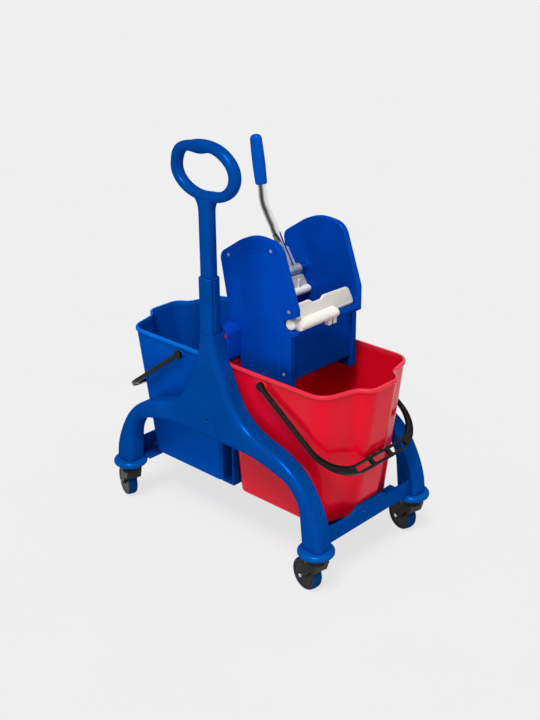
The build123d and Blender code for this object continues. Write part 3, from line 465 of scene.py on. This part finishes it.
# half sizes and heights in mm
pushHandle = {
    "outer": (95.0, 62.5), "inner": (72.5, 40.0), "halfDepth": 13.4, "roundness": 2.35,
    "steps": 168, "around": 32,
    # where the ring leaves a plain oval: middle and reach in degrees, growth of its outside and its opening
    "swells": ((151, 27, 7.0, 6.3), (109, 56, 0.0, -7.0), (12, 45, -2.0, -2.2), (225, 75, 0.0, 2.5),
               (322, 38, 2.2, 2.5)),
    # the stem's half widths and half depths, and its heights from the ring's middle
    "plug": (12.0, 8.5), "shaft": (16.8, 13.2),
    "plugFoot": -281.0, "shoulder": -221.4, "shoulderRise": 0.1, "flareStart": -95.0, "flareEnd": -49.0,
    "flare": 25.2, "flarePower": 3.6, "flareThin": 0.4, "thinPower": 12.0, "flareSteps": 16,
    "stemRoundness": 3.6, "stemAround": 48,
}


def ovalRadius(halves, angle):
    return 1.0 / math.hypot(math.cos(angle) / halves[0], math.sin(angle) / halves[1])


def ringShift(angle):
    # growth of the ring's outside and of its opening at this angle
    outside = inside = 0.0
    for middle, reach, outGrowth, inGrowth in pushHandle["swells"]:
        away = abs((math.degrees(angle) - middle + 180) % 360 - 180)
        if away < reach:
            share = 0.5 + 0.5 * math.cos(math.pi * away / reach)
            outside += outGrowth * share
            inside += inGrowth * share
    return outside, inside


def roundedSpot(angle, roundness):
    # a point of a rounded square of half size 1
    x, y = math.cos(angle), math.sin(angle)
    return math.copysign(abs(x) ** (2 / roundness), x), math.copysign(abs(y) ** (2 / roundness), y)


def stemSections():
    # height, half width and half depth, from the plug's foot up into the ring
    width, depth = pushHandle["shaft"]
    shoulder, start = pushHandle["shoulder"], pushHandle["flareStart"]
    sections = [(pushHandle["plugFoot"], *pushHandle["plug"]), (shoulder, *pushHandle["plug"]),
                (shoulder + pushHandle["shoulderRise"], width, depth)]
    for step in range(pushHandle["flareSteps"] + 1):
        share = step / pushHandle["flareSteps"]
        wide = width + pushHandle["flare"] * share ** pushHandle["flarePower"]
        thin = depth * (1.0 - pushHandle["flareThin"] * share ** pushHandle["thinPower"])
        sections.append((start + share * (pushHandle["flareEnd"] - start), wide, thin))
    return sections


def ringSkin(centre):
    points = []
    steps, around, halfDepth = pushHandle["steps"], pushHandle["around"], pushHandle["halfDepth"]
    for step in range(steps):
        angle = math.tau * step / steps
        outside, inside = ringShift(angle)
        outer = ovalRadius(pushHandle["outer"], angle) + outside
        inner = ovalRadius(pushHandle["inner"], angle) + inside
        for k in range(around):
            across, deep = roundedSpot(math.tau * k / around, pushHandle["roundness"])
            radius = (outer + inner) / 2 + (outer - inner) / 2 * across
            spot = Vector((radius * math.cos(angle), deep * halfDepth, radius * math.sin(angle)))
            points.append(centre + spot * mm)
    return points, tubeFaces(0, steps, around, "loop")


def stemSkin(centre):
    points, sections, around = [], stemSections(), pushHandle["stemAround"]
    for height, halfWidth, halfDepth in sections:
        for k in range(around):
            across, deep = roundedSpot(math.tau * k / around, pushHandle["stemRoundness"])
            points.append(centre + Vector((across * halfWidth, deep * halfDepth, height)) * mm)
    return points, tubeFaces(0, len(sections), around, "both")


def fusedSkin(skins):
    # one closed skin from two that overlap
    blanks = [addObject("blank", closedMesh("blank", points, faces)) for points, faces in skins]
    joint = blanks[0].modifiers.new("fused", "BOOLEAN")
    joint.operation = "UNION"
    joint.solver = "EXACT"
    joint.object = blanks[1]
    depsgraph = bpy.context.evaluated_depsgraph_get()
    whole = bpy.data.meshes.new_from_object(blanks[0].evaluated_get(depsgraph))
    points = [vert.co.copy() for vert in whole.vertices]
    faces = [tuple(face.vertices) for face in whole.polygons]
    for blank in blanks:
        bpy.data.objects.remove(blank)
    return points, faces


def makePushHandle():
    low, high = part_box("push_handle")
    ringMiddle = high.z - pushHandle["outer"][1] * mm
    centre = Vector(((low.x + high.x) / 2, (low.y + high.y) / 2, ringMiddle))
    points, faces = fusedSkin((ringSkin(centre), stemSkin(centre)))
    finishPiece("push_handle_moulded", points, faces, "frame_blue", "chassis", ["push_handle"])


makeWheels()
makeScrews()
makePushHandle()
print("wheels, screw heads and push handle placed")

studio = {"floorSize": 60.0, "paper": 0.863, "fibre": 0.003, "fibreScale": 3.0, "paperRough": 0.9,
          "shadowShare": 0.16, "dome": 0.2}
lamps = {
    "key": {"from": (0.3, -0.5, 1.0), "strength": 0.85, "spread": 34.0},
    "fill": {"from": (0.6, -0.66, 0.66), "strength": 0.22, "spread": 40.0},
    "glint": {"from": (0.24, -0.42, 0.88), "strength": 1.95, "spread": 17.0},
}


def floorLight():
    # light on the open floor, as a share of what a white surface gives back at strength 1
    direct = sum(lamp["strength"] * Vector(lamp["from"]).normalized().z for lamp in lamps.values())
    return studio["dome"] + direct / math.pi


def seenDirectly(tree):
    # 1 for what the camera, mirrors and glass see, 0 for what lights the object
    ray = addNode(tree, "LightPath").outputs
    seen = maths(tree, "MAXIMUM", ray["Is Camera Ray"], ray["Is Glossy Ray"])
    return maths(tree, "MAXIMUM", seen, ray["Is Transmission Ray"])


def paleSurface(name):
    # the lit paper matches the plain tone where no shadow falls, so only the shadow shows
    material, tree, shader = newFinish(name)
    paper, fibre = studio["paper"], studio["fibre"]
    grey = cloud(tree, place(tree), studio["fibreScale"], (paper - fibre, paper + fibre))
    tone = addNode(tree, "CombineColor", {"Red": grey, "Green": grey, "Blue": grey}).outputs["Color"]
    lit = addNode(tree, "VectorMath", {0: tone, "Scale": 1.0 / floorLight()}, operation="SCALE")
    tree.links.new(lit.outputs["Vector"], shader.inputs["Base Color"])
    setSockets(shader, {"Roughness": studio["paperRough"], "Specular IOR Level": 0.0})
    glow = addNode(tree, "Emission", {"Color": tone, "Strength": 1.0})
    share = maths(tree, "MULTIPLY", seenDirectly(tree), 1.0 - studio["shadowShare"])
    mix = addNode(tree, "MixShader", {0: share, 1: shader.outputs["BSDF"], 2: glow.outputs["Emission"]})
    tree.links.new(mix.outputs["Shader"], tree.nodes["Material Output"].inputs["Surface"])
    return material


def makeFloor():
    half = studio["floorSize"] / 2
    corners = [(-half, -half, 0), (half, -half, 0), (half, half, 0), (-half, half, 0)]
    mesh = bpy.data.meshes.new("studio_floor")
    mesh.from_pydata(corners, [], [(0, 1, 2, 3)])
    mesh.materials.append(paleSurface("studio_paper"))
    floor = addObject("studio_floor", mesh)


def makeWorld():
    world = bpy.data.worlds.new("studio_air")
    scene.world = world
    world.use_nodes = True
    tree = world.node_tree
    air = tree.nodes["Background"]
    strength = ramp(tree, seenDirectly(tree), (0.0, 1.0), (studio["dome"], studio["paper"]))
    tree.links.new(strength, air.inputs["Strength"])
    air.inputs["Color"].default_value = rgba(white)


def makeLights():
    for name, lamp in lamps.items():
        light = bpy.data.lights.new("soft_light_" + name, "SUN")
        light.energy = lamp["strength"]
        light.angle = math.radians(lamp["spread"])
        holder = addObject("soft_light_" + name, light)
        holder.rotation_euler = (-Vector(lamp["from"])).to_track_quat("-Z", "Y").to_euler()


eye = {"azimuth": 43.58, "elevation": 23.5, "distance": 2.60542, "roll": -0.56, "focalPixels": 1165.1,
       "frame": (540, 720), "sensor": 36.0, "farEnd": 100.0, "offset": (0.0067, 0.00637), "height": 0.39824}


def aimPoint():
    # the photograph is centred close to the middle of the chassis
    low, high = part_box("side_frame_near")
    return Vector(((low.x + high.x) / 2 + eye["offset"][0], eye["offset"][1], eye["height"]))


def makeCamera():
    data = bpy.data.cameras.new("photo_camera")
    data.sensor_width = eye["sensor"]
    data.lens = eye["focalPixels"] / max(eye["frame"]) * eye["sensor"]
    data.clip_end = eye["farEnd"]
    camera = addObject("photo_camera", data)
    turn, rise = math.radians(eye["azimuth"]), math.radians(eye["elevation"])
    back = Vector((math.sin(turn) * math.cos(rise), -math.cos(turn) * math.cos(rise), math.sin(rise)))
    right = Vector((math.cos(turn), math.sin(turn), 0))
    up = back.cross(right)
    roll = math.radians(eye["roll"])
    tilted = right * math.cos(roll) + up * math.sin(roll)
    axes = Matrix((tilted, back.cross(tilted), back)).transposed()
    camera.matrix_world = Matrix.Translation(aimPoint() + back * eye["distance"]) @ axes.to_4x4()
    scene.camera = camera


makeFloor()
makeWorld()
makeLights()
makeCamera()
scene.view_settings.view_transform = "Standard"
print("studio ready")
